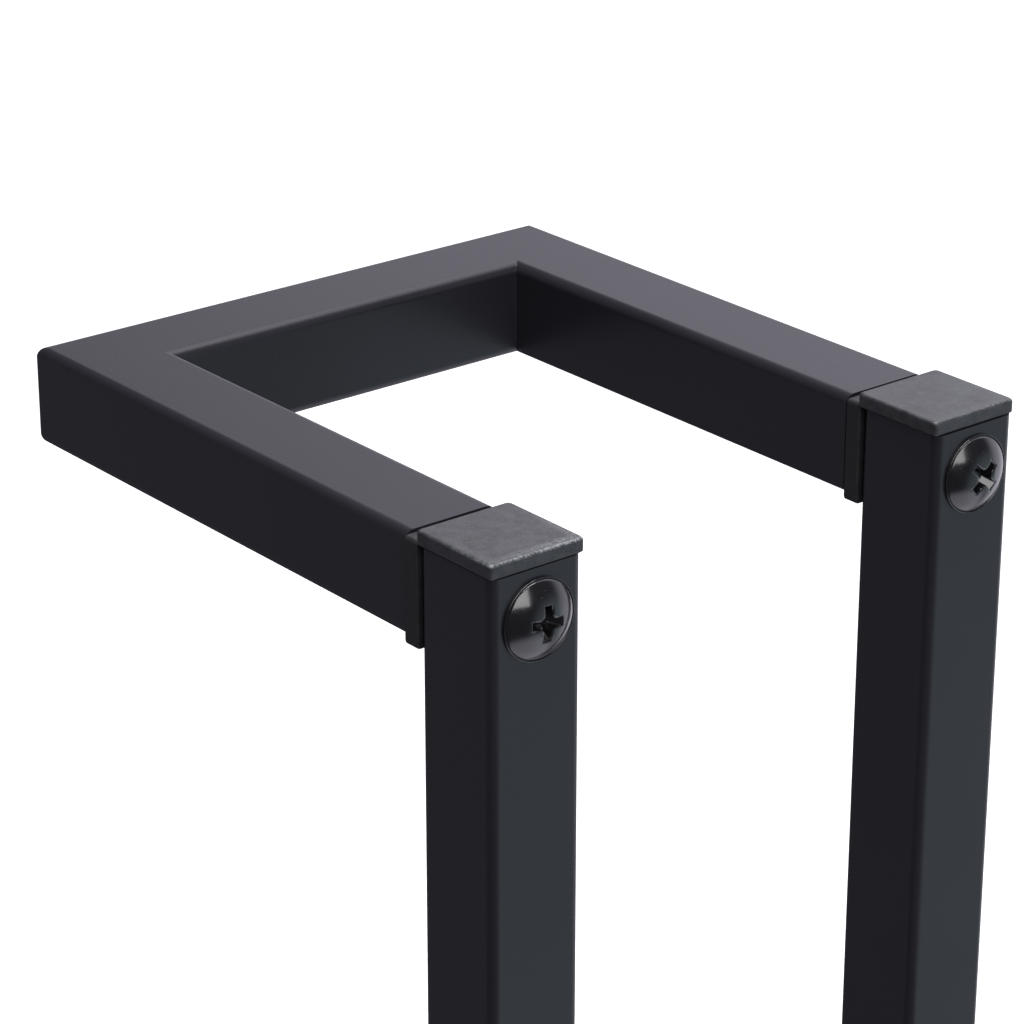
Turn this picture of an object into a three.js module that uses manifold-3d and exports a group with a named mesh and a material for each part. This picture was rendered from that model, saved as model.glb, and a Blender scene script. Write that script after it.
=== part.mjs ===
// Open-top firewood rack made of 20 mm square steel tube.
// Four uprights stand in two end frames. At the top of each end frame a mitred U of tube, the
// return, reaches inwards over the logs. Two base rails with three cross bars carry the logs.
// Each tube that meets an upright ends in a square insert with a captive nut, and a screw
// through the upright holds it there. Plastic caps close the uprights' tops and form the feet.
//
// Millimetres, +Z up. X runs along the rack, left to right, and Y from front to back. The
// origin is on the floor, in the middle of the rack.

import * as THREE from "three";
import { mergeVertices } from "three/addons/utils/BufferGeometryUtils.js";
import Module from "manifold-3d";

const wasm = await Module();
wasm.setup();

// Overall frame
const RACK_WIDTH = 600; // over the uprights' outer faces
const RACK_HEIGHT = 500; // floor to the tops of the caps
const UPRIGHT_SPACING = 105; // front upright's axis to back upright's axis
const RETURN_REACH = 133; // upright's axis to the return's inner end
const RETURN_DROP = 1.8; // cap's top down to the return's top face
const RETURN_SCREW_DROP = 0.8; // the return's axis down to its screws and its inserts' flanges
const BASE_RAIL_HEIGHT = 60; // floor to the base rails' axes
const CROSS_BAR_SPACING = 180; // middle of one cross bar to the next

// Square tube
const TUBE = 20;
const TUBE_WALL = 1.2;
const TUBE_CORNER_R = 2;
const TUBE_CORNER_STEPS = 2; // half the flat facets in a tube's rounded corner
const PLASTIC_CORNER_STEPS = 1; // the same for the small plastic corners
const GAP = 0.3; // left between pieces that meet

// Plastic caps on the uprights' tops and under their feet
const CAP_FLANGE = 20.6;
const CAP_FLANGE_CORNER_R = 0.7;
const CAP_FLANGE_EDGE = 0.3; // small round on the flange's outer edges
const TOP_CAP_THICKNESS = 2.8;
const FOOT_CAP_THICKNESS = 3.2;
const PLUG = 16.8; // square body that fills the tube's bore
const PLUG_WALL = 1.6;
const PLUG_CORNER_R = 1;
const TOP_PLUG_DEPTH = 4.5; // short, so it clears the screw below it
const FOOT_PLUG_DEPTH = 14;

// Threaded tube-end insert
const INSERT_FLANGE = 20.6;
const INSERT_FLANGE_CORNER_R = 0.9;
const INSERT_FLANGE_EDGE = 0.2; // small round on the flange's outer edges
const INSERT_FLANGE_THICKNESS = 3.5;
const INSERT_BODY_LENGTH = 16;
const INSERT_POCKET_DEPTH = 8;
const INSERT_POCKET_FLATS = 10.8;

// M6 hardware
const SCREW_DIAMETER = 6;
const SCREW_LENGTH = 35; // under the head to the tip
const SCREW_TIP = 1; // chamfer at the tip
const HEAD_DIAMETER = 15.4;
const HEAD_HEIGHT = 3.4;
const HEAD_RIM = 0.6; // straight edge of the head
const RECESS_WIDTH = 6.8;
const RECESS_SLOT = 1.5;
const RECESS_DEPTH = 2.6;
const RECESS_TAPER = 0.45; // share of its width that the recess keeps at its bottom
const CLEARANCE_HOLE = 6.6;
const NUT_FLATS = 10;
const NUT_THICKNESS = 5;

// Facets and solids
const ROD_SEGMENTS = 16;
const SCREW_SEGMENTS = 18;
const DOME_STEPS = 5; // rings on the screw head's dome
const EMBED = 1; // how far a joined or cutting body runs into or past its neighbour
const MERGE_DISTANCE = 1e-4; // points closer than this are one point

const HALF_TUBE = TUBE / 2;
const UPRIGHT_X = RACK_WIDTH / 2 - HALF_TUBE;
const UPRIGHT_Y = UPRIGHT_SPACING / 2;
const UPRIGHT_BOTTOM = FOOT_CAP_THICKNESS + GAP;
const UPRIGHT_TOP = RACK_HEIGHT - TOP_CAP_THICKNESS - GAP;
const RETURN_AXIS_HEIGHT = RACK_HEIGHT - RETURN_DROP - HALF_TUBE;
const INSERT_SEAT = HALF_TUBE + GAP; // upright's axis to the insert's flange
const TUBE_SEAT = INSERT_SEAT + INSERT_FLANGE_THICKNESS + GAP; // upright's axis to the tube's end
const ALONG_X = new THREE.Euler(Math.PI / 2, Math.PI / 2, 0);

const finishes = {
  powderCoat: { color: 0x25282b, roughness: 0.55, metalness: 0.1 },
  capPlastic: { color: 0x303134, roughness: 0.7, metalness: 0 },
  insertPlastic: { color: 0x1c1d1f, roughness: 0.6, metalness: 0 },
  blackedSteel: { color: 0x101113, roughness: 0.25, metalness: 0.7 },
  zincSteel: { color: 0xa9acb0, roughness: 0.35, metalness: 0.9 },
};

function piece(name, geometry, finish) {
  const mesh = new THREE.Mesh(geometry, new THREE.MeshStandardMaterial(finishes[finish]));
  mesh.name = name;
  return mesh;
}

// ---- Solids and booleans ----

function toSolid(geometry) {
  const bare = geometry.clone();
  bare.deleteAttribute("normal");
  bare.deleteAttribute("uv");
  const merged = mergeVertices(bare, MERGE_DISTANCE);
  return new wasm.Manifold(
    new wasm.Mesh({
      numProp: 3,
      vertProperties: new Float32Array(merged.attributes.position.array),
      triVerts: new Uint32Array(merged.index.array),
    }),
  );
}

function toGeometry(solid) {
  const { vertProperties, triVerts } = solid.getMesh();
  const geometry = new THREE.BufferGeometry();
  geometry.setAttribute("position", new THREE.BufferAttribute(vertProperties, 3));
  geometry.setIndex(new THREE.BufferAttribute(triVerts, 1));
  geometry.computeVertexNormals();
  return geometry;
}

function join(...geometries) {
  return toGeometry(geometries.map(toSolid).reduce((all, next) => all.add(next)));
}

function cut(geometry, ...cutters) {
  return toGeometry(
    cutters.map(toSolid).reduce((rest, cutter) => rest.subtract(cutter), toSolid(geometry)),
  );
}

// ---- Sections and plain bodies ----

function roundedSquare(side, radius, Outline = THREE.Shape) {
  const half = side / 2;
  const straight = half - radius;
  const outline = new Outline();
  outline.moveTo(half, -straight);
  outline.lineTo(half, straight);
  outline.absarc(straight, straight, radius, 0, Math.PI / 2);
  outline.lineTo(-straight, half);
  outline.absarc(-straight, straight, radius, Math.PI / 2, Math.PI);
  outline.lineTo(-half, -straight);
  outline.absarc(-straight, -straight, radius, Math.PI, 1.5 * Math.PI);
  outline.lineTo(straight, -half);
  outline.absarc(straight, -straight, radius, 1.5 * Math.PI, 2 * Math.PI);
  return outline;
}

// A square block standing on z = 0.
function block(side, radius, height) {
  return new THREE.ExtrudeGeometry(roundedSquare(side, radius), {
    depth: height,
    bevelEnabled: false,
    curveSegments: PLASTIC_CORNER_STEPS,
  });
}

// A square plate standing on z = 0 whose outer edges are rounded off.
function plate(side, radius, thickness, edge) {
  return new THREE.ExtrudeGeometry(roundedSquare(side - 2 * edge, radius), {
    depth: thickness - 2 * edge,
    bevelSize: edge,
    bevelThickness: edge,
    bevelSegments: 1,
    curveSegments: PLASTIC_CORNER_STEPS,
  }).translate(0, 0, edge);
}

function rod(diameter, height, segments = ROD_SEGMENTS) {
  return new THREE.CylinderGeometry(diameter / 2, diameter / 2, height, segments).rotateX(
    Math.PI / 2,
  );
}

function hexagon(acrossFlats, height) {
  return rod(acrossFlats / Math.cos(Math.PI / 6), height, 6);
}

// Square tube along +Z from z = 0. An end with a slope is cut to the plane z = end + slope * x,
// so a slope of 1 or -1 is a mitre.
function squareTube(length, startSlope = 0, endSlope = 0) {
  const section = roundedSquare(TUBE, TUBE_CORNER_R);
  section.holes.push(
    roundedSquare(TUBE - 2 * TUBE_WALL, TUBE_CORNER_R - TUBE_WALL, THREE.Path),
  );
  const geometry = new THREE.ExtrudeGeometry(section, {
    depth: length,
    bevelEnabled: false,
    curveSegments: TUBE_CORNER_STEPS,
  });
  const points = geometry.attributes.position;
  for (let i = 0; i < points.count; i += 1) {
    const slope = points.getZ(i) < length / 2 ? startSlope : endSlope;
    points.setZ(i, points.getZ(i) + slope * points.getX(i));
  }
  return geometry;
}

// ---- Pieces, each on its own axis ----

// Upright with a clearance hole through both side walls at each screw's height.
function uprightGeometry() {
  const tube = squareTube(UPRIGHT_TOP - UPRIGHT_BOTTOM).translate(0, 0, UPRIGHT_BOTTOM);
  const holes = [RETURN_AXIS_HEIGHT - RETURN_SCREW_DROP, BASE_RAIL_HEIGHT].map((height) =>
    rod(CLEARANCE_HOLE, 2 * TUBE).rotateY(Math.PI / 2).translate(0, 0, height),
  );
  return cut(tube, ...holes);
}

// Tube-end cap: a flange on z = 0 to thickness, with a hollow plug below it.
function capGeometry(thickness, plugDepth) {
  const bore = PLUG - 2 * PLUG_WALL;
  const flange = plate(CAP_FLANGE, CAP_FLANGE_CORNER_R, thickness, CAP_FLANGE_EDGE);
  const plug = block(PLUG, PLUG_CORNER_R, plugDepth + EMBED).translate(0, 0, -plugDepth);
  const hollow = block(bore, PLUG_CORNER_R, plugDepth + EMBED).translate(0, 0, -plugDepth - EMBED);
  return cut(join(flange, plug), hollow);
}

// Tube-end insert: its flange starts at z = 0 and its body runs on into the tube. The screw's
// bore opens into a hexagonal pocket for the nut. drop is how far the screw and the flange sit
// below the tube's axis.
function insertGeometry(drop) {
  const length = INSERT_FLANGE_THICKNESS + INSERT_BODY_LENGTH;
  const flange = plate(
    INSERT_FLANGE,
    INSERT_FLANGE_CORNER_R,
    INSERT_FLANGE_THICKNESS,
    INSERT_FLANGE_EDGE,
  );
  const body = block(PLUG, PLUG_CORNER_R, length - EMBED).translate(0, drop, EMBED);
  const bore = rod(CLEARANCE_HOLE, 3 * length);
  const pocket = hexagon(INSERT_POCKET_FLATS, 2 * INSERT_POCKET_DEPTH).translate(0, 0, length);
  return cut(join(flange, body), bore, pocket);
}

function nutGeometry() {
  return cut(hexagon(NUT_FLATS, NUT_THICKNESS), rod(CLEARANCE_HOLE, 2 * NUT_THICKNESS));
}

// One wing of the cross recess, a box whose faces close in towards its bottom.
function recessWing(width, thickness) {
  const wing = new THREE.BoxGeometry(width, thickness, 2 * RECESS_DEPTH);
  const points = wing.attributes.position;
  for (let i = 0; i < points.count; i += 1) {
    const share = points.getZ(i) > 0 ? RECESS_TAPER : 2 - RECESS_TAPER;
    points.setX(i, points.getX(i) * share);
    points.setY(i, points.getY(i) * share);
  }
  return wing;
}

// Truss-head screw whose shank runs along +Z from the underside of its head at z = 0.
function screwGeometry() {
  const headRadius = HEAD_DIAMETER / 2;
  const shankRadius = SCREW_DIAMETER / 2;
  const domeHeight = HEAD_HEIGHT - HEAD_RIM;
  const profile = [new THREE.Vector2(0, -HEAD_HEIGHT)];
  for (let i = 1; i <= DOME_STEPS; i += 1) {
    const share = i / DOME_STEPS;
    const height = HEAD_RIM + domeHeight * (1 - share ** 2);
    profile.push(new THREE.Vector2(headRadius * share, -height));
  }
  profile.push(
    new THREE.Vector2(headRadius, 0),
    new THREE.Vector2(shankRadius, 0),
    new THREE.Vector2(shankRadius, SCREW_LENGTH - SCREW_TIP),
    new THREE.Vector2(shankRadius - SCREW_TIP, SCREW_LENGTH),
    new THREE.Vector2(0, SCREW_LENGTH),
  );
  const body = new THREE.LatheGeometry(profile, SCREW_SEGMENTS).rotateX(Math.PI / 2);
  const wings = [0, Math.PI / 2].map((turn) =>
    recessWing(RECESS_WIDTH, RECESS_SLOT).rotateZ(turn).translate(0, 0, -HEAD_HEIGHT),
  );
  return cut(body, ...wings);
}

// ---- Corners: an upright, its caps and its two screwed joints ----

// A screwed joint on the upright's axis, with the screw along +X. height is the tube's axis.
function screwedJoint(kind, place, height, drop) {
  const joint = new THREE.Group();
  const insert = piece(`${kind}_insert_${place}`, insertGeometry(drop), "insertPlastic");
  insert.position.x = INSERT_SEAT;
  const nut = piece(`${kind}_nut_${place}`, nutGeometry(), "zincSteel");
  const pocketFloor = INSERT_SEAT + INSERT_FLANGE_THICKNESS + INSERT_BODY_LENGTH - INSERT_POCKET_DEPTH;
  nut.position.x = pocketFloor + GAP + NUT_THICKNESS / 2;
  const screw = piece(`${kind}_screw_${place}`, screwGeometry(), "blackedSteel");
  screw.position.x = -HALF_TUBE - GAP;
  for (const part of [insert, nut, screw]) {
    part.rotation.copy(ALONG_X);
    joint.add(part);
  }
  joint.position.z = height - drop;
  return joint;
}

// side is -1 for the left end of the rack and 1 for the right, depth -1 for the front and 1
// for the back. Each corner is built facing +X and turned to face the middle of the rack.
function corner(side, depth) {
  const place = `${depth < 0 ? "front" : "back"}_${side < 0 ? "left" : "right"}`;
  const group = new THREE.Group();
  const topCap = piece(`top_cap_${place}`, capGeometry(TOP_CAP_THICKNESS, TOP_PLUG_DEPTH), "capPlastic");
  topCap.position.z = RACK_HEIGHT - TOP_CAP_THICKNESS;
  const footCap = piece(`foot_cap_${place}`, capGeometry(FOOT_CAP_THICKNESS, FOOT_PLUG_DEPTH), "capPlastic");
  footCap.position.z = FOOT_CAP_THICKNESS;
  footCap.rotation.x = Math.PI;
  group.add(
    piece(`upright_${place}`, uprightGeometry(), "powderCoat"),
    topCap,
    footCap,
    screwedJoint("return", place, RETURN_AXIS_HEIGHT, RETURN_SCREW_DROP),
    screwedJoint("rail", place, BASE_RAIL_HEIGHT, 0),
  );
  group.position.set(side * UPRIGHT_X, depth * UPRIGHT_Y, 0);
  group.rotation.z = side < 0 ? 0 : Math.PI;
  return group;
}

// ---- Returns: two arms and a bar, mitred into a U ----

function returnFrame(side) {
  const end = side < 0 ? "left" : "right";
  const group = new THREE.Group();
  const mitreCentre = RETURN_REACH - HALF_TUBE - GAP / 2;
  for (const depth of [-1, 1]) {
    const outward = -side * depth; // the arm's outer side, before the group is turned
    const arm = piece(
      `return_arm_${depth < 0 ? "front" : "back"}_${end}`,
      squareTube(mitreCentre - TUBE_SEAT, 0, 1).rotateZ((outward * Math.PI) / 2),
      "powderCoat",
    );
    arm.position.set(TUBE_SEAT, outward * UPRIGHT_Y, 0);
    arm.rotation.y = Math.PI / 2;
    group.add(arm);
  }
  const barLength = UPRIGHT_SPACING - GAP;
  const bar = piece(`return_bar_${end}`, squareTube(barLength, -1, 1), "powderCoat");
  bar.position.set(RETURN_REACH - HALF_TUBE, barLength / 2, 0);
  bar.rotation.x = Math.PI / 2;
  group.add(bar);
  group.position.set(side * UPRIGHT_X, 0, RETURN_AXIS_HEIGHT);
  group.rotation.z = side < 0 ? 0 : Math.PI;
  return group;
}

// ---- Base: two rails tied by cross bars ----

function baseFrame() {
  const group = new THREE.Group();
  const railLength = 2 * (UPRIGHT_X - TUBE_SEAT);
  for (const depth of [-1, 1]) {
    const rail = piece(`base_rail_${depth < 0 ? "front" : "back"}`, squareTube(railLength), "powderCoat");
    rail.position.set(-railLength / 2, depth * UPRIGHT_Y, 0);
    rail.rotation.y = Math.PI / 2;
    group.add(rail);
  }
  const barLength = UPRIGHT_SPACING - TUBE - 2 * GAP;
  ["left", "middle", "right"].forEach((place, index) => {
    const bar = piece(`cross_bar_${place}`, squareTube(barLength), "powderCoat");
    bar.position.set((index - 1) * CROSS_BAR_SPACING, barLength / 2, 0);
    bar.rotation.x = Math.PI / 2;
    group.add(bar);
  });
  group.position.z = BASE_RAIL_HEIGHT;
  return group;
}

const rack = new THREE.Group();
rack.name = "firewood_rack";
for (const side of [-1, 1]) {
  for (const depth of [-1, 1]) {
    rack.add(corner(side, depth));
  }
  rack.add(returnFrame(side));
}
rack.add(baseFrame());

export default rack;
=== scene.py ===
# Looks of the open-top firewood rack: fine meshes, materials, light and camera, built around
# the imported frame. Metres, +Z up, X along the rack, Y from front to back.

from math import asin, cos, pi, radians, sin, sqrt, tau

import bmesh
import bpy
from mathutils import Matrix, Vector, noise


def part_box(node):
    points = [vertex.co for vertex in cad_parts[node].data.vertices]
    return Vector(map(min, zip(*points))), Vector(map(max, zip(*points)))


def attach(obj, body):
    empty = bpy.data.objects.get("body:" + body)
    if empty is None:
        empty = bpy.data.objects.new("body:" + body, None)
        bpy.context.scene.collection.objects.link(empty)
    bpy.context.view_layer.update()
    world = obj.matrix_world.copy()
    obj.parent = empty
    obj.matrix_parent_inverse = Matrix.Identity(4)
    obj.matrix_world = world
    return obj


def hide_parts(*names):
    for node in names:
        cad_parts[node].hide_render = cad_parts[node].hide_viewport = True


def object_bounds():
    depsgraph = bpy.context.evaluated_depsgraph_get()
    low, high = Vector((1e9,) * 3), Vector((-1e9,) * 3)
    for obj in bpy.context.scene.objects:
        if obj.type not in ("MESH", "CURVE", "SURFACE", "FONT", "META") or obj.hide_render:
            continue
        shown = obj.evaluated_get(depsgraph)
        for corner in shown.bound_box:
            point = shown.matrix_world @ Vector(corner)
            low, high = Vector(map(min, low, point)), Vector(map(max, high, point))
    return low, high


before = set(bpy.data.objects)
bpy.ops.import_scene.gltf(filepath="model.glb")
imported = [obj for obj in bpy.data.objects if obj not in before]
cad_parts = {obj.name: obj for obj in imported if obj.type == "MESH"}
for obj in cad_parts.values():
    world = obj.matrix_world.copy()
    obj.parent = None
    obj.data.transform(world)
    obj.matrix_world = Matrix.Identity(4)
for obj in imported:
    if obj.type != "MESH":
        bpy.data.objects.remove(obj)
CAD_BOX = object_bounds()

MM = 0.001
SHARP_ANGLE = 35  # degrees between faces that shade as an edge

# Square tube
TUBE_WALL = 1.2 * MM
TUBE_CORNER = 2 * MM
TUBE_CORNER_STEPS = 10
BORE_CORNER = 0.8 * MM
HOLE_RADIUS = 3.3 * MM

# Mitred corners of the returns
GROUND_EDGE = 0.8 * MM  # the weld ground to a small round on the outside corner
MITRE_EDGE = 0.05 * MM
FILLET_WELD = 0.2 * MM  # weld left in the inside corner
WELD_RIPPLE = 0.05 * MM
RIPPLE_LENGTH = 1.5 * MM
WELD_FADE = 1.2 * MM  # length over which it dies out towards the tube's rounds
INSIDE_CORNER = 0.96  # share of the tube's width where the inside corner starts
MITRE_STEPS = 8
WELD_STEPS = 48  # up the inside corner
HOOP_SHARP_ANGLE = 50

# Weld beads round the cross bars
BEAD_RADIUS = 1.3 * MM
BEAD_RIPPLE = 0.22 * MM
BEAD_WANDER = 3 * MM  # length over which its thickness varies
BEAD_FLATNESS = 0.9
BEAD_SIDES = 12
BEAD_STEP = 0.25 * RIPPLE_LENGTH
BEAD_CORNER_STEPS = 6
BEAD_SHARP_ANGLE = 70

# Plastic caps and inserts
CAP_CORNER = 0.8 * MM
CAP_EDGE = 0.6 * MM
CAP_CROWN = 0.12 * MM
CAP_GAP = 0.2 * MM  # between its flange and the tube's end
SCUFFED_PLACE = "front_right"  # its caps are scuffed the most
LIGHT_WEAR = 0.3  # how worn the others are beside it
INSERT_CORNER = 0.9 * MM
INSERT_EDGE = 0.35 * MM
INSERT_FLANGE = 3.5 * MM
INSERT_ROOT = 0.3 * MM  # where the plug widens into the flange
INSERT_ROOT_LENGTH = 0.2 * MM
INSERT_LEAD = 0.6 * MM
INSERT_STEPS = 5
PLASTIC_STEPS = 6
PLUG = 16.8 * MM
PLUG_WALL = 1.6 * MM
PLUG_CHAMFER = 0.4 * MM
PLUG_LEAD = 0.3 * MM
PLUG_FLOOR = 0.1 * MM  # the hollow's end, below the flange
PLUG_RIBS = 3
PLUG_RIB = 0.3 * MM
RIB_ABOVE = 0.5 * MM
RIB_BELOW = 0.3 * MM
POCKET_DEPTH = 8 * MM
POCKET_FLATS = 10.8 * MM

# Screws
SHANK_RADIUS = 3 * MM
THREAD_PITCH = 1 * MM
THREAD_DEPTH = 0.6 * MM
THREAD_STEPS = 6
PLAIN_SHANK = 5 * MM
SHANK_FILLET = 0.3 * MM
SCREW_TIP = 1 * MM
SCREW_SIDES = 48
RIM_HEIGHT = 0.6 * MM
RIM_WIDTH = 0.42 * MM
RIM_DROP = 0.05 * MM  # its top, below the dome's foot
RIM_SLOPE = 0.05 * MM
RIM_FLAT = 0.03 * MM
RIM_ROUND = 0.14 * MM
ROUND_STEPS = 4
GROOVE_DEPTH = 0.24 * MM  # round the dome, inside the rim
GROOVE_INSIDE = 0.05 * MM
GROOVE_OUTSIDE = 0.12 * MM
DOME_RINGS = 22
RECESS_WIDTH = 6.4 * MM
RECESS_SLOT = 1.55 * MM
RECESS_DEPTH = 3 * MM
RECESS_FILLET = 1.2 * MM
RECESS_FLARE = 0.24 * MM  # how far the recess's edges are broken outwards
FLARE_DEPTH = 0.3 * MM
RECESS_TAPER = [  # depth, and the share of the full width there
    (FLARE_DEPTH, 1),
    (0.8 * RECESS_DEPTH, 0.6),
    (RECESS_DEPTH, 0.3),
]
RECESS_CLEARANCE = 0.3 * MM  # the cutter's reach above the dome
HEAD_GAP = 0.02 * MM
SEATING = 0.28 * MM  # how far the tightened screw sits closer than the CAD's clearance

CAP_SHIFTS = {  # flanges moulded a little off their plug's centre
    "top_cap_back_right": Vector((-0.45, -0.2, 0)) * MM,
    "top_cap_front_right": Vector((-0.18, 0, 0)) * MM,
    "top_cap_front_left": Vector((0.15, 0.1, 0)) * MM,
}

SIDES = {"left": -1, "right": 1}
DEPTHS = {"front": -1, "back": 1}
PLACES = [f"{depth}_{side}" for side in SIDES for depth in DEPTHS]


# ---- Meshes ----

def skin(rings, around=False):
    """Vertices and faces of quads between rings of equal length. The last ring joins the first
    where around is set, and otherwise both ends are closed with a flat face."""
    count = len(rings[0])
    points = [point for ring in rings for point in ring]
    faces = []
    spans = len(rings) if around else len(rings) - 1
    for span in range(spans):
        low = span * count
        high = (span + 1) % len(rings) * count
        for i in range(count):
            j = (i + 1) % count
            faces.append((low + i, low + j, high + j, high + i))
    if not around:
        faces.append(tuple(range(count)))
        faces.append(tuple(range(len(points) - count, len(points))))
    return points, faces


def make(name, shells, sharp=SHARP_ANGLE):
    """An object from one or more closed shells, shaded smooth but for its sharp edges."""
    points = []
    faces = []
    for shell_points, shell_faces in shells:
        faces += [tuple(i + len(points) for i in face) for face in shell_faces]
        points += shell_points
    mesh = bpy.data.meshes.new(name)
    mesh.from_pydata([tuple(point) for point in points], [], faces)
    tidy_normals(mesh)
    piece = bpy.data.objects.new(name, mesh)
    bpy.context.scene.collection.objects.link(piece)
    finish_shading(piece, sharp)
    return piece


def tidy_normals(mesh):
    work = bmesh.new()
    work.from_mesh(mesh)
    bmesh.ops.recalc_face_normals(work, faces=work.faces)
    work.to_mesh(mesh)
    work.free()


def finish_shading(piece, sharp):
    piece.data.shade_smooth()
    piece.data.set_sharp_from_angle(angle=radians(sharp))
    weighted = piece.modifiers.new("flat faces stay flat", "WEIGHTED_NORMAL")
    weighted.keep_sharp = True


def carve(piece, cutters):
    """Cuts the cutters out of the piece."""
    piece.modifiers.clear()
    for cutter in cutters:
        cut = piece.modifiers.new("cut", "BOOLEAN")
        cut.object = cutter
        cut.solver = "EXACT"
    bpy.context.view_layer.update()
    evaluated = piece.evaluated_get(bpy.context.evaluated_depsgraph_get())
    mesh = bpy.data.meshes.new_from_object(evaluated)
    piece.modifiers.clear()
    old = piece.data
    mesh.name = old.name
    piece.data = mesh
    bpy.data.meshes.remove(old)
    for cutter in cutters:
        bpy.data.objects.remove(cutter)
    finish_shading(piece, SHARP_ANGLE)
    return piece


def publish(piece, slot, *nodes):
    """The piece stands for these CAD nodes, which belong to the rack's one body."""
    piece.data.materials.clear()
    piece.data.materials.append(materials[slot])
    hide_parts(*nodes)
    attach(piece, "root")


# ---- Sections ----

def rounded_square(side, radius, steps, side_steps=1):
    """Points anticlockwise round a square with round corners. side_steps divides the straight
    side at +u only."""
    points = []
    centre = side / 2 - radius
    for step in range(1, side_steps):
        points.append((side / 2, centre * (2 * step / side_steps - 1)))
    for quarter in range(4):
        across = centre if quarter in (0, 3) else -centre
        up = centre if quarter in (0, 1) else -centre
        for step in range(steps + 1):
            angle = (quarter + step / steps) * pi / 2
            points.append((across + radius * cos(angle), up + radius * sin(angle)))
    return points


def circle(radius, sides):
    angles = [tau * i / sides for i in range(sides)]
    return [(radius * cos(angle), radius * sin(angle)) for angle in angles]


def rotated(u, v, angle):
    return u * cos(angle) - v * sin(angle), u * sin(angle) + v * cos(angle)


def hexagon(flats, count):
    """Points round a hexagon. Its corners are among them if count is a multiple of six."""
    points = []
    for i in range(count):
        angle = tau * i / count
        radius = flats / 2 / cos(angle % (pi / 3) - pi / 6)
        points.append((radius * cos(angle), radius * sin(angle)))
    return points


def along_x(section, x, centre):
    return [Vector((x, centre.y + u, centre.z + v)) for u, v in section]


def along_y(section, y, centre):
    return [Vector((centre.x + u, y, centre.z + v)) for u, v in section]


def along_z(section, z, centre):
    return [Vector((centre.x + u, centre.y + v, z)) for u, v in section]


def prism(section, start, end, centre, along):
    return skin([along(section, start, centre), along(section, end, centre)])


# ---- Square tubes ----

def square_tube(node, axis, along):
    """The tube of a CAD node, along the axis of that number, with fine round corners."""
    low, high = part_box(node)
    centre = (low + high) / 2
    side = min(high - low)
    outer = rounded_square(side, TUBE_CORNER, TUBE_CORNER_STEPS)
    bore = rounded_square(side - 2 * TUBE_WALL, BORE_CORNER, TUBE_CORNER_STEPS)
    ends = (low[axis], high[axis])
    rings = [along(outer, end, centre) for end in ends]
    rings += [along(bore, end, centre) for end in reversed(ends)]
    return make(node, [skin(rings, around=True)])


def upright(place):
    node = f"upright_{place}"
    tube = square_tube(node, 2, along_z)
    low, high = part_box(node)
    cutters = []
    for kind in ("return", "rail"):
        screw_low, screw_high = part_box(f"{kind}_screw_{place}")
        centre = (screw_low + screw_high) / 2
        hole = circle(HOLE_RADIUS, SCREW_SIDES)
        ends = (low.x - TUBE_WALL, high.x + TUBE_WALL)
        cutters.append(make(f"drill_{kind}", [prism(hole, *ends, centre, along_x)]))
    publish(carve(tube, cutters), "powder_coat", node)


# ---- Returns ----

def mitre_path(reach, half_width, inset, radius):
    """Route round the U at an inset from its outer outline: along one arm, round the bar's two
    corners and back along the other. The first number runs from the bar towards the uprights."""
    bend = inset + radius
    path = [(reach, -half_width + inset)]
    for side in (-1, 1):
        for step in range(MITRE_STEPS + 1):
            turned = step / MITRE_STEPS * pi / 2
            angle = pi / 2 - turned if side < 0 else turned
            path.append((
                bend - radius * cos(angle),
                side * (half_width - bend + radius * sin(angle)),
            ))
    path.append((reach, half_width - inset))
    return path


def ease(value, low, high):
    share = min(max((value - low) / (high - low), 0), 1)
    return share * share * (3 - 2 * share)


def corner_radius(inset, height, tube, seed):
    """Round of the mitred corner: ground smooth outside, a rippled weld inside that stops
    short of the tube's own rounds, which meet in a crease."""
    outside = GROUND_EDGE * (1 - ease(inset, 0, TUBE_CORNER))
    weld_top = tube / 2 - TUBE_CORNER
    inside = ease(inset, INSIDE_CORNER * tube, tube)
    inside *= 1 - ease(abs(height), weld_top - WELD_FADE, weld_top)
    drift = 2 * noise.noise((seed, height / MM, 0))
    ripple = WELD_RIPPLE * sin(tau * height / RIPPLE_LENGTH + drift)
    return MITRE_EDGE + outside + inside * (FILLET_WELD + ripple)


def return_hoop(side_name):
    side = SIDES[side_name]
    bar_low, bar_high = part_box(f"return_bar_{side_name}")
    arm_low, arm_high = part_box(f"return_arm_front_{side_name}")
    tube = bar_high.z - bar_low.z
    free_face = bar_low.x if side > 0 else bar_high.x
    arm_end = arm_high.x if side > 0 else arm_low.x
    reach = abs(arm_end - free_face)
    half_width = (bar_high.y - bar_low.y) / 2
    middle = (bar_low.z + bar_high.z) / 2

    def skin_rings(section, radius_of):
        columns = []
        for across, up in section:
            inset = across + tube / 2
            path = mitre_path(reach, half_width, inset, radius_of(inset, up))
            columns.append([Vector((free_face + side * s, y, middle + up)) for s, y in path])
        return [list(ring) for ring in zip(*columns)]

    outer = rounded_square(tube, TUBE_CORNER, TUBE_CORNER_STEPS, WELD_STEPS)
    bore = rounded_square(tube - 2 * TUBE_WALL, BORE_CORNER, TUBE_CORNER_STEPS, WELD_STEPS)
    outer_rings = skin_rings(outer, lambda inset, up: corner_radius(inset, up, tube, side))
    bore_rings = skin_rings(bore, lambda inset, up: MITRE_EDGE)
    shell = skin(outer_rings + bore_rings[::-1], around=True)
    publish(
        make(f"return_hoop_{side_name}", [shell], HOOP_SHARP_ANGLE),
        "powder_coat",
        f"return_arm_front_{side_name}",
        f"return_arm_back_{side_name}",
        f"return_bar_{side_name}",
    )


# ---- Base ----

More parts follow.
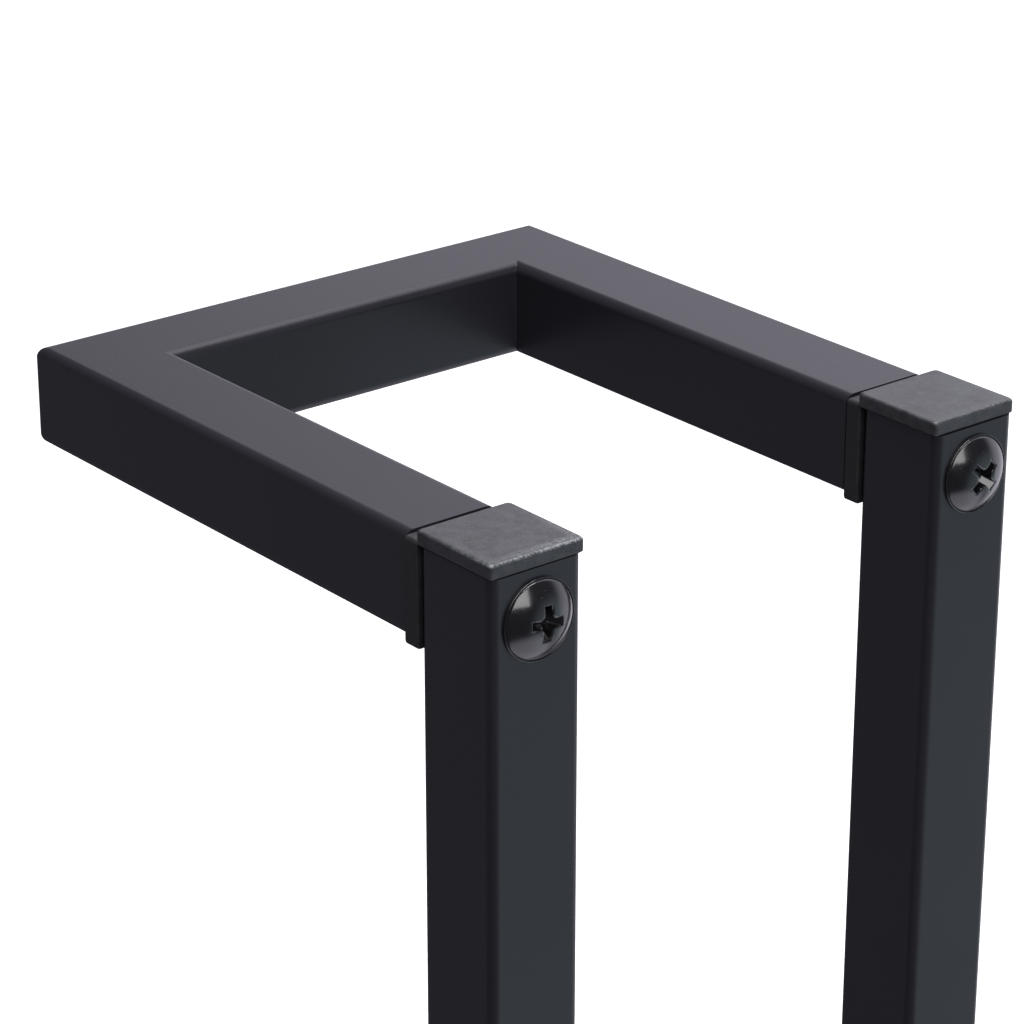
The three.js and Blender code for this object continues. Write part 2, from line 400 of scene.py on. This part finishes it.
def weld_bead(centre, side, seed):
    """Rippled bead round a cross bar's end, in the corner between it and the rail."""
    route = rounded_square(side, TUBE_CORNER, BEAD_CORNER_STEPS)
    fine = []
    for i, (u, v) in enumerate(route):
        next_u, next_v = route[(i + 1) % len(route)]
        step_u = next_u - u
        step_v = next_v - v
        parts = max(1, round(sqrt(step_u ** 2 + step_v ** 2) / BEAD_STEP))
        fine += [(u + step_u * k / parts, v + step_v * k / parts) for k in range(parts)]
    rings = []
    travelled = 0.0
    last = fine[0]
    for u, v in fine:
        travelled += sqrt((u - last[0]) ** 2 + (v - last[1]) ** 2)
        last = (u, v)
        wobble = noise.noise((seed, travelled / BEAD_WANDER, 0))
        radius = BEAD_RADIUS + BEAD_RIPPLE * (sin(tau * travelled / RIPPLE_LENGTH) * 0.5 + wobble)
        outward = Vector((u, 0, v)).normalized()
        ring = []
        for across, up in circle(radius, BEAD_SIDES):
            offset = outward * up * BEAD_FLATNESS + Vector((0, across, 0))
            ring.append(centre + Vector((u, 0, v)) + offset)
        rings.append(ring)
    return skin(rings, around=True)


def base():
    for name in DEPTHS:
        node = f"base_rail_{name}"
        publish(square_tube(node, 0, along_x), "powder_coat", node)
    for number, name in enumerate(("left", "middle", "right")):
        node = f"cross_bar_{name}"
        bar = square_tube(node, 1, along_y)
        publish(bar, "powder_coat", node)
        low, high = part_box(node)
        centre = (low + high) / 2
        for depth_name, depth in DEPTHS.items():
            rail_low, rail_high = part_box(f"base_rail_{depth_name}")
            face = rail_high.y if depth < 0 else rail_low.y
            seat = Vector((centre.x, face, centre.z))
            shell = weld_bead(seat, high.x - low.x, number + depth)
            weld = make(f"weld_{name}_{depth_name}", [shell], BEAD_SHARP_ANGLE)
            weld.data.materials.append(materials["powder_coat"])
            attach(weld, "root")


# ---- Plastic caps and inserts ----

def plate_profile(side, thickness, edge, crown=0.0):
    """(side, height, wear) of the rings of a plate from its crowned face at the top down to
    its underside, both with round edges. wear is 1 on the upper edge and fades just inside."""
    face = side - 2 * edge
    profile = [
        (face * share, thickness - crown * share ** 2, 0.0)
        for share in (0.2, 0.5, 0.8)
    ]
    profile.append((face * 0.97, thickness - crown, 0.5))
    top = thickness - crown
    for step in range(PLASTIC_STEPS + 1):
        angle = step / PLASTIC_STEPS * pi / 2
        wear = sin(2 * angle)
        profile.append((face + 2 * edge * sin(angle), top - edge * (1 - cos(angle)), wear))
    profile.append((side, edge / 2, 0.0))
    for step in range(1, 4):
        angle = step / 3 * pi / 2
        profile.append((side - edge * (1 - cos(angle)), edge / 2 * (1 - sin(angle)), 0.0))
    return profile


def plug_profile(depth):
    """(side, height, wear) of the rings of a hollow ribbed plug, down its outside and up its
    inside."""
    profile = [(PLUG + PLUG_CHAMFER, 0.0, 0.0), (PLUG, -PLUG_CHAMFER / 2, 0.0)]
    for rib in range(1, PLUG_RIBS + 1):
        at = -depth * rib / (PLUG_RIBS + 1)
        profile.append((PLUG, at + RIB_ABOVE, 0.0))
        profile.append((PLUG + 2 * PLUG_RIB, at, 0.0))
        profile.append((PLUG, at - RIB_BELOW, 0.0))
    hollow = PLUG - 2 * PLUG_WALL
    profile.append((PLUG, -depth + PLUG_LEAD, 0.0))
    profile.append((PLUG - PLUG_CHAMFER, -depth, 0.0))
    profile.append((hollow + PLUG_CHAMFER, -depth, 0.0))
    profile.append((hollow, -depth + PLUG_LEAD, 0.0))
    profile.append((hollow, -PLUG_FLOOR, 0.0))
    return profile


def loft(profile, corner, place_ring):
    """Rings of round-cornered squares, one for each (side, height, wear) of the profile."""
    rings = []
    wears = []
    for side, height, wear in profile:
        radius = min(corner, 0.4 * side)
        section = rounded_square(side, radius, PLASTIC_STEPS)
        rings.append(place_ring(section, height))
        wears += [wear] * len(section)
    return skin(rings), wears


def set_wear(piece, wears, amount_at):
    """Stores how worn each point is, for the material to read."""
    layer = piece.data.attributes.new("wear", "FLOAT", "POINT")
    for i, vertex in enumerate(piece.data.vertices):
        layer.data[i].value = wears[i] * amount_at(vertex.co)


def worn_share(point, centre, side):
    """Caps are scuffed along their outer edge, most of all towards its back corner."""
    outward = ease((point.x - centre.x) / side, 0.3, 0.47)
    return outward * (0.35 + 0.65 * ease((point.y - centre.y) / side, -0.5, 0.5))


def cap(kind, place, up):
    node = f"{kind}_cap_{place}"
    low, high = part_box(node)
    tube_low, tube_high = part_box(f"upright_{place}")
    centre = (low + high) / 2
    flange_centre = centre + CAP_SHIFTS.get(node, Vector((0, 0, 0)))
    side = high.x - low.x
    outer_face = high.z if up > 0 else low.z
    tube_end = tube_high.z if up > 0 else tube_low.z
    thickness = abs(outer_face - tube_end) - CAP_GAP
    depth = high.z - low.z - thickness
    profile = plate_profile(side, thickness, CAP_EDGE, CAP_CROWN) + plug_profile(depth)
    base_height = outer_face - up * thickness

    def place_ring(section, height):
        middle = centre if height < 0 else flange_centre
        return along_z(section, base_height + up * height, middle)

    shell, wears = loft(profile, CAP_CORNER, place_ring)
    piece = make(node, [shell])
    used = 1.0 if place == SCUFFED_PLACE else LIGHT_WEAR
    set_wear(piece, wears, lambda point: used * worn_share(point, flange_centre, side))
    publish(piece, "cap_plastic", node)


def insert(kind, place):
    """Square insert in a tube's end, its flange towards the upright and a pocket for the nut
    in its plug. The plug is in line with the tube, and the rest with the screw."""
    node = f"{kind}_insert_{place}"
    low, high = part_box(node)
    upright_low, upright_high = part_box(f"upright_{place}")
    centre = (low + high) / 2
    inward = 1 if centre.x > (upright_low.x + upright_high.x) / 2 else -1
    side = high.z - low.z
    start = low.x if inward > 0 else high.x
    length = high.x - low.x
    tube = f"return_arm_{place}" if kind == "return" else f"base_rail_{place.split('_')[0]}"
    tube_low, tube_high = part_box(tube)
    plug_centre = Vector((centre.x, centre.y, (tube_low.z + tube_high.z) / 2))
    squares = []
    for across, height, _ in plate_profile(side, INSERT_FLANGE, INSERT_EDGE):
        if across > 2.4 * HOLE_RADIUS:  # clear of the bore
            squares.append((across, INSERT_FLANGE - height, centre))
    squares += [
        (PLUG + INSERT_ROOT, INSERT_FLANGE, plug_centre),
        (PLUG, INSERT_FLANGE + INSERT_ROOT_LENGTH, plug_centre),
        (PLUG, length - INSERT_LEAD, plug_centre),
        (PLUG - 2 * INSERT_LEAD, length, plug_centre),
    ]
    count = 4 * (INSERT_STEPS + 1)
    bore = circle(HOLE_RADIUS, count)
    pocket = hexagon(POCKET_FLATS, count)
    pocket_floor = start + inward * (length - POCKET_DEPTH)
    rings = [along_x(bore, start, centre)]
    for across, height, middle in squares:
        section = rounded_square(across, INSERT_CORNER, INSERT_STEPS)
        rings.append(along_x(section, start + inward * height, middle))
    rings.append(along_x(pocket, start + inward * length, centre))
    rings.append(along_x(pocket, pocket_floor, centre))
    rings.append(along_x(bore, pocket_floor, centre))
    publish(make(node, [skin(rings, around=True)]), "insert_plastic", node)


# ---- Screws ----

def dome_ball(head_radius, head_height):
    """Radius of the ball that the head's dome is part of."""
    dome_radius = head_radius - RIM_WIDTH
    dome_height = head_height - RIM_HEIGHT
    return (dome_radius ** 2 + dome_height ** 2) / (2 * dome_height)


def screw_profile(length, head_radius, head_height):
    """(distance, radius, thread) rings from the dome's crown to the tip. The underside of the
    head is at zero and the shank runs the positive way."""
    dome_radius = head_radius - RIM_WIDTH
    ball = dome_ball(head_radius, head_height)
    widest = asin(dome_radius / ball)
    rings = []
    for step in range(1, DOME_RINGS + 1):
        angle = widest * step / DOME_RINGS
        rings.append((-head_height + ball * (1 - cos(angle)), ball * sin(angle), 0.0))
    groove = -RIM_HEIGHT + GROOVE_DEPTH
    rim = -RIM_HEIGHT + RIM_DROP
    rings.append((groove, dome_radius + GROOVE_INSIDE, 0.0))
    rings.append((groove, dome_radius + GROOVE_OUTSIDE, 0.0))
    rings.append((rim + RIM_SLOPE, head_radius - RIM_ROUND - RIM_FLAT, 0.0))
    for step in range(ROUND_STEPS + 1):
        angle = step / ROUND_STEPS * pi / 2
        rings.append((
            rim + RIM_ROUND * (1 - cos(angle)),
            head_radius - RIM_ROUND * (1 - sin(angle)),
            0.0,
        ))
    rings.append((-RIM_ROUND / 2, head_radius, 0.0))
    rings.append((0.0, head_radius - RIM_ROUND / 2, 0.0))
    rings.append((0.0, SHANK_RADIUS + SHANK_FILLET, 0.0))
    rings.append((SHANK_FILLET, SHANK_RADIUS, 0.0))
    rings.append((PLAIN_SHANK, SHANK_RADIUS, 0.0))
    turns = int((length - PLAIN_SHANK - SCREW_TIP) / THREAD_PITCH * THREAD_STEPS)
    for step in range(1, turns + 1):
        rings.append((PLAIN_SHANK + step * THREAD_PITCH / THREAD_STEPS, SHANK_RADIUS, 1.0))
    rings.append((length - SCREW_TIP, SHANK_RADIUS - THREAD_DEPTH, 0.0))
    rings.append((length, SHANK_RADIUS - SCREW_TIP, 0.0))
    return rings


def cross_outline(width, slot):
    """Outline of a cross with round inside corners."""
    arm = width / 2
    half = slot / 2
    points = []
    for quarter in range(4):
        turn = quarter * pi / 2
        corner = [(arm, -half), (arm, half)]
        bend = min(half + RECESS_FILLET * slot / RECESS_SLOT, 0.95 * arm)
        for step in range(ROUND_STEPS + 1):
            angle = step / ROUND_STEPS * pi / 2
            corner.append((
                bend - (bend - half) * sin(angle),
                bend - (bend - half) * cos(angle),
            ))
        points += [rotated(u, v, turn) for u, v in corner]
    return points


def recess_cutter(crown, outward, turn, centre, ball):
    """The driver's recess, its edges flared where they meet the dome. Its rings follow the
    dome's curve, but for the one above it."""

    def ring(depth, share, follow=1):
        flare = RECESS_FLARE * max(0, 1 - depth / FLARE_DEPTH)
        width = RECESS_WIDTH * share + 2 * flare
        slot = RECESS_SLOT * (0.55 + 0.45 * share) + 2 * flare
        points = []
        for u, v in cross_outline(width, slot):
            x = crown - outward * (depth + follow * (u * u + v * v) / (2 * ball))
            points += along_x([rotated(u, v, turn)], x, centre)
        return points

    rings = [
        ring(-RECESS_CLEARANCE, 1, follow=0),
        ring(-RECESS_CLEARANCE / 2, 1),
    ]
    rings += [ring(depth, share) for depth, share in RECESS_TAPER]
    return make("driver", [skin(rings)])


def screw(kind, place, turn):
    node = f"{kind}_screw_{place}"
    low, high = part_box(node)
    centre = (low + high) / 2
    outward = 1 if place.endswith("right") else -1
    crown = high.x if outward > 0 else low.x
    tube_low, tube_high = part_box(f"upright_{place}")
    tube_face = tube_high.x if outward > 0 else tube_low.x
    head_height = abs(crown - tube_face) - SEATING
    length = high.x - low.x - head_height - SEATING
    seat = tube_face + outward * HEAD_GAP
    head_radius = (high.z - low.z) / 2
    rings = []
    for distance, radius, thread in screw_profile(length, head_radius, head_height):
        section = []
        for i in range(SCREW_SIDES):
            angle = tau * i / SCREW_SIDES
            phase = (distance / THREAD_PITCH - i / SCREW_SIDES) % 1
            r = radius - thread * THREAD_DEPTH * abs(2 * phase - 1)
            section.append((r * cos(angle), r * sin(angle)))
        rings.append(along_x(section, seat - outward * distance, centre))
    piece = make(node, [skin(rings)])
    dome_crown = seat + outward * head_height
    ball = dome_ball(head_radius, head_height)
    cutter = recess_cutter(dome_crown, outward, turn, centre, ball)
    publish(carve(piece, [cutter]), "black_screw", node)


# ---- Materials ----

class Shading:
    """A material's node tree, with one call for each node."""

    def __init__(self, name):
        self.material = bpy.data.materials.new(name)
        self.material.use_nodes = True
        self.tree = self.material.node_tree
        self.tree.nodes.clear()
        self.place = self.add("ShaderNodeTexCoord").outputs["Object"]

    def add(self, kind, inputs=None, **settings):
        node = self.tree.nodes.new(kind)
        for name, value in settings.items():
            setattr(node, name, value)
        for name, value in (inputs or {}).items():
            if isinstance(value, bpy.types.NodeSocket):
                self.tree.links.new(value, node.inputs[name])
            else:
                node.inputs[name].default_value = value
        return node

    def noise(self, size, detail=2.0, rough=0.5):
        inputs = {"Vector": self.place, "Scale": 1 / size, "Detail": detail, "Roughness": rough}
        return self.add("ShaderNodeTexNoise", inputs).outputs["Fac"]

    def spots(self, size):
        inputs = {"Vector": self.place, "Scale": 1 / size}
        return self.add("ShaderNodeTexVoronoi", inputs).outputs["Distance"]

    def span(self, value, low, high, new_low, new_high):
        inputs = {
            "Value": value,
            "From Min": low,
            "From Max": high,
            "To Min": new_low,
            "To Max": new_high,
        }
        return self.add("ShaderNodeMapRange", inputs).outputs["Result"]

    def sum(self, first, second, operation="ADD"):
        node = self.add("ShaderNodeMath", operation=operation)
        for socket, value in zip(node.inputs, (first, second)):
            if isinstance(value, bpy.types.NodeSocket):
                self.tree.links.new(value, socket)
            else:
                socket.default_value = value
        return node.outputs[0]

    def colours(self, amount, first, second):
        node = self.add("ShaderNodeMix", {"Factor": amount}, data_type="RGBA")
        for socket, colour in zip((node.inputs[6], node.inputs[7]), (first, second)):
            if isinstance(colour, bpy.types.NodeSocket):
                self.tree.links.new(colour, socket)
            else:
                socket.default_value = (*colour, 1)
        return node.outputs[2]

    def bump(self, height, distance, strength=1.0, normal=None):
        inputs = {"Height": height, "Distance": distance, "Strength": strength}
        if normal:
            inputs["Normal"] = normal
        return self.add("ShaderNodeBump", inputs).outputs["Normal"]

    def surface(self, **inputs):
        named = {name.replace("_", " "): value for name, value in inputs.items()}
        shader = self.add("ShaderNodeBsdfPrincipled", named)
        self.add("ShaderNodeOutputMaterial", {"Surface": shader.outputs[0]})
        return self.material


def powder_coat():
    """Satin black polyester powder: orange peel, a fine grain, and a slightly uneven gloss."""
    look = Shading("powder_coat")
    cloud = look.noise(45 * MM, 3)
    grain = look.noise(0.35 * MM, 2)
    peel = look.noise(1.3 * MM, 2, 0.6)
    colour = look.colours(cloud, (0.0143, 0.0140, 0.0180), (0.0200, 0.0196, 0.0246))
    speck = look.span(look.spots(2.6 * MM), 0.02, 0.09, 1, 0)
    speck = look.sum(speck, look.span(look.noise(9 * MM), 0.5, 0.62, 0, 0.5), "MULTIPLY")
    colour = look.colours(speck, colour, (0.07, 0.07, 0.075))
    gloss = look.span(look.sum(cloud, grain), 0.7, 1.3, 0.28, 0.35)
    normal = look.bump(peel, 0.016 * MM)
    normal = look.bump(grain, 0.006 * MM, normal=normal)
    return look.surface(Base_Color=colour, Roughness=gloss, Normal=normal, IOR=1.5)


def cap_plastic():
    """Matte moulded plastic: mottled, with scuffed light edges where the wear layer says so."""
    look = Shading("cap_plastic")
    mottle = look.noise(2.2 * MM, 5, 0.7)
    grain = look.noise(0.22 * MM, 2)
    broad = look.noise(9 * MM, 2)
    shade = look.span(look.sum(mottle, grain), 0.7, 1.3, 0, 1)
    colour = look.colours(shade, (0.01, 0.0104, 0.012), (0.06, 0.062, 0.067))
    worn = look.add("ShaderNodeAttribute", attribute_name="wear").outputs["Fac"]
    flecks = look.span(look.noise(0.6 * MM, 3, 0.7), 0.42, 0.58, 0.05, 1)
    worn = look.sum(worn, flecks, "MULTIPLY")
    colour = look.colours(worn, colour, (0.3, 0.31, 0.33))
    gloss = look.span(look.sum(broad, mottle), 0.8, 1.2, 0.38, 0.5)
    normal = look.bump(mottle, 0.045 * MM)
    normal = look.bump(grain, 0.012 * MM, normal=normal)
    return look.surface(Base_Color=colour, Roughness=gloss, Normal=normal, IOR=1.6)


def insert_plastic():
    """Black nylon, a little smoother than the caps."""
    look = Shading("insert_plastic")
    mottle = look.noise(2.2 * MM, 3)
    grain = look.noise(0.3 * MM, 2)
    colour = look.colours(mottle, (0.013, 0.013, 0.014), (0.024, 0.024, 0.026))
    gloss = look.span(mottle, 0.35, 0.65, 0.42, 0.52)
    normal = look.bump(grain, 0.01 * MM)
    return look.surface(Base_Color=colour, Roughness=gloss, Normal=normal, IOR=1.5)


def black_screw():
    """Glossy black lacquer over steel, with faint dust and a soft waviness."""
    look = Shading("black_screw")
    wave = look.noise(2.4 * MM, 2)
    dust = look.span(look.spots(0.75 * MM), 0.03, 0.14, 1, 0)
    dust = look.sum(dust, look.span(look.noise(3 * MM), 0.5, 0.6, 0, 0.6), "MULTIPLY")
    colour = look.colours(dust, (0.008, 0.008, 0.009), (0.16, 0.16, 0.17))
    gloss = look.span(look.sum(wave, dust), 0.35, 0.9, 0.17, 0.28)
    normal = look.bump(wave, 0.012 * MM)
    return look.surface(
        Base_Color=colour,
        Roughness=gloss,
        Normal=normal,
        IOR=1.6,
        Coat_Weight=0.6,
        Coat_Roughness=0.12,
    )


def zinc_steel():
    """Zinc-plated steel: grey, faintly blue, with fine turning marks and duller patches."""
    look = Shading("zinc_steel")
    patch = look.noise(2.5 * MM, 3)
    marks = look.noise(0.12 * MM, 2)
    colour = look.colours(patch, (0.42, 0.43, 0.45), (0.6, 0.61, 0.62))
    gloss = look.span(patch, 0.3, 0.7, 0.25, 0.42)
    normal = look.bump(marks, 0.006 * MM)
    return look.surface(Base_Color=colour, Metallic=1.0, Roughness=gloss, Normal=normal)


materials = {
    "powder_coat": powder_coat(),
    "cap_plastic": cap_plastic(),
    "insert_plastic": insert_plastic(),
    "black_screw": black_screw(),
    "zinc_steel": zinc_steel(),
}


# ---- The rack ----

RECESS_TURNS = {
    "return_front_right": radians(-4),
    "return_back_right": radians(45),
    "return_front_left": radians(22),
    "return_back_left": radians(68),
    "rail_front_right": radians(12),
    "rail_back_right": radians(-31),
    "rail_front_left": radians(51),
    "rail_back_left": radians(8),
}

for place in PLACES:
    upright(place)
    cap("top", place, 1)
    cap("foot", place, -1)
    for kind in ("return", "rail"):
        insert(kind, place)
        screw(kind, place, RECESS_TURNS[f"{kind}_{place}"])
        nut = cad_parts[f"{kind}_nut_{place}"]
        nut.data.materials.clear()
        nut.data.materials.append(materials["zinc_steel"])
for name in SIDES:
    return_hoop(name)
base()


# ---- Floor, light and camera ----

ROOM_LIGHT = (0.062, 0.06, 0.078)
PALE_VIOLET = (1.02, 1.0, 1.13)
PALE_BLUE = (0.8, 1.0, 1.08)
PANELS = [
    ((-0.35, 0.94, -0.1), 32, 57, 0.72, PALE_VIOLET),  # backdrop behind the rack
    ((-0.2, 0.6, 0.77), 17, 36, 1.25, PALE_VIOLET),  # overhead, towards the back
    ((0.74, 0.58, -0.33), 14, 42, 0.42, PALE_BLUE),  # right, off the floor
    ((0.3, 0.1, -0.94), 24, 40, 0.8, PALE_VIOLET),  # floor under the right end
    ((-0.68, -0.55, -0.49), 10, 40, 0.09, PALE_VIOLET),  # floor in front
]


FLOOR_REACH = 30.0
CAMERA_LENS = 128.0
CAMERA_OFFSET = Vector((0.4454, -0.3573, 0.2416))  # from the middle of the front right cap
CAMERA_PITCH = 22.61  # degrees down
CAMERA_YAW = 51.07


def pale_floor():
    corners = [(x * FLOOR_REACH, y * FLOOR_REACH, 0) for x, y in ((-1, -1), (1, -1), (1, 1), (-1, 1))]
    mesh = bpy.data.meshes.new("floor")
    mesh.from_pydata(corners, [], [(0, 1, 2, 3)])
    ground = bpy.data.objects.new("floor", mesh)
    bpy.context.scene.collection.objects.link(ground)
    look = Shading("pale_floor")
    mesh.materials.append(look.surface(
        Base_Color=(0.8, 0.8, 0.8, 1),
        Roughness=0.9,
        Specular_IOR_Level=0.0,
        Emission_Color=(1, 1, 1, 1),
        Emission_Strength=0.75,
    ))
    ground.visible_glossy = False
    ground.visible_diffuse = False
    ground.visible_shadow = False


def studio_light():
    """Soft surroundings for the rack: a dim room with broad panels of light, each given by its
    direction, the angles where it starts and stops fading, and its strength."""
    world = bpy.data.worlds.new("studio")
    bpy.context.scene.world = world
    world.use_nodes = True
    tree = world.node_tree
    tree.nodes.clear()

    def node(kind, **settings):
        made = tree.nodes.new(kind)
        for name, value in settings.items():
            setattr(made, name, value)
        return made

    direction = node("ShaderNodeTexCoord").outputs["Generated"]
    total = None
    for aim, full, gone, strength, colour in PANELS:
        facing = node("ShaderNodeVectorMath", operation="DOT_PRODUCT")
        tree.links.new(direction, facing.inputs[0])
        facing.inputs[1].default_value = Vector(aim).normalized()
        panel = node("ShaderNodeMapRange", interpolation_type="SMOOTHSTEP")
        tree.links.new(facing.outputs["Value"], panel.inputs["Value"])
        panel.inputs["From Min"].default_value = cos(radians(gone))
        panel.inputs["From Max"].default_value = cos(radians(full))
        panel.inputs["To Max"].default_value = strength
        tinted = node("ShaderNodeVectorMath", operation="MULTIPLY_ADD")
        tree.links.new(panel.outputs["Result"], tinted.inputs[0])
        tinted.inputs[1].default_value = colour
        if total is None:
            tinted.inputs[2].default_value = ROOM_LIGHT
        else:
            tree.links.new(total, tinted.inputs[2])
        total = tinted.outputs[0]
    no_less_than_dark = node("ShaderNodeVectorMath", operation="MAXIMUM")
    tree.links.new(total, no_less_than_dark.inputs[0])
    no_less_than_dark.inputs[1].default_value = (0, 0, 0)
    lit = node("ShaderNodeBackground")
    tree.links.new(no_less_than_dark.outputs[0], lit.inputs["Color"])
    seen = node("ShaderNodeBackground")
    seen.inputs["Color"].default_value = (1, 1, 1, 1)
    choice = node("ShaderNodeMixShader")
    tree.links.new(node("ShaderNodeLightPath").outputs["Is Camera Ray"], choice.inputs[0])
    tree.links.new(lit.outputs[0], choice.inputs[1])
    tree.links.new(seen.outputs[0], choice.inputs[2])
    output = node("ShaderNodeOutputWorld")
    tree.links.new(choice.outputs[0], output.inputs["Surface"])


def softbox(name, place, target, size, power):
    data = bpy.data.lights.new(name, "AREA")
    data.shape = "SQUARE"
    data.size = size
    data.energy = power
    lamp = bpy.data.objects.new(name, data)
    bpy.context.scene.collection.objects.link(lamp)
    lamp.location = place
    lamp.rotation_euler = (Vector(target) - Vector(place)).to_track_quat("-Z", "Y").to_euler()


def camera():
    """Long-lens view down onto the right-hand return from the rack's front right."""
    post_low, post_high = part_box("upright_front_right")
    cap_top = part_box("top_cap_front_right")[1].z
    anchor = Vector(((post_low.x + post_high.x) / 2, (post_low.y + post_high.y) / 2, cap_top))
    data = bpy.data.cameras.new("camera")
    data.lens = CAMERA_LENS
    view = bpy.data.objects.new("camera", data)
    bpy.context.scene.collection.objects.link(view)
    view.location = anchor + CAMERA_OFFSET
    view.rotation_euler = (radians(90 - CAMERA_PITCH), 0, radians(CAMERA_YAW))
    bpy.context.scene.camera = view


pale_floor()
studio_light()
rack_top = Vector((0, 0, CAD_BOX[1][2]))
softbox("softbox_key", place=(1.55, -0.55, 1.55), target=rack_top, size=1.3, power=19)
softbox("softbox_top", place=(0.25, 0.05, 1.9), target=(0.25, 0, 0.5), size=0.9, power=23)
camera()
bpy.context.scene.view_settings.view_transform = "Standard"
